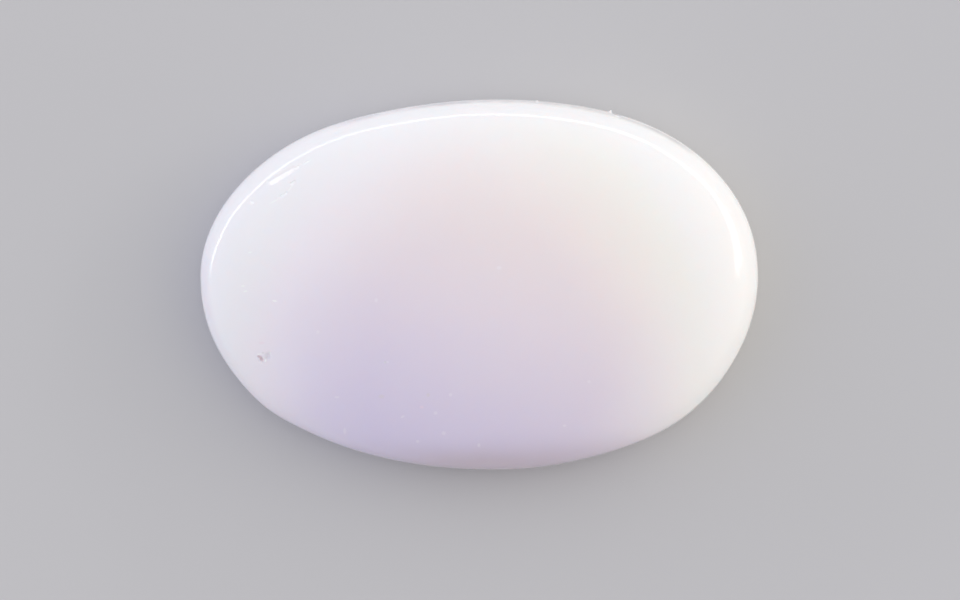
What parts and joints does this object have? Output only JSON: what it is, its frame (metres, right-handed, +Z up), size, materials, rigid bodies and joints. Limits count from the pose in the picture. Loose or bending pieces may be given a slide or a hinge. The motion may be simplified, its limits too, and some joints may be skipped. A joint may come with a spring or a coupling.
{
  "type": "polished opal cabochon",
  "caption": "Oval cabochon of milky white opal: a low polished dome over an upright edge, a flat back and a small bevel round the back.",
  "frame": {"origin": "the middle of the flat back, under the middle of the outline's box", "axes": "+X along the long axis of the oval, +Y across it towards the side that is at the top of the picture, +Z up out of the dome"},
  "size_m": [0.018, 0.012, 0.0034],
  "materials": {
    "milky_opal": "polished"
  },
  "bodies": {
    "root": {"opal_cabochon": "milky_opal"}
  },
  "joints": []
}
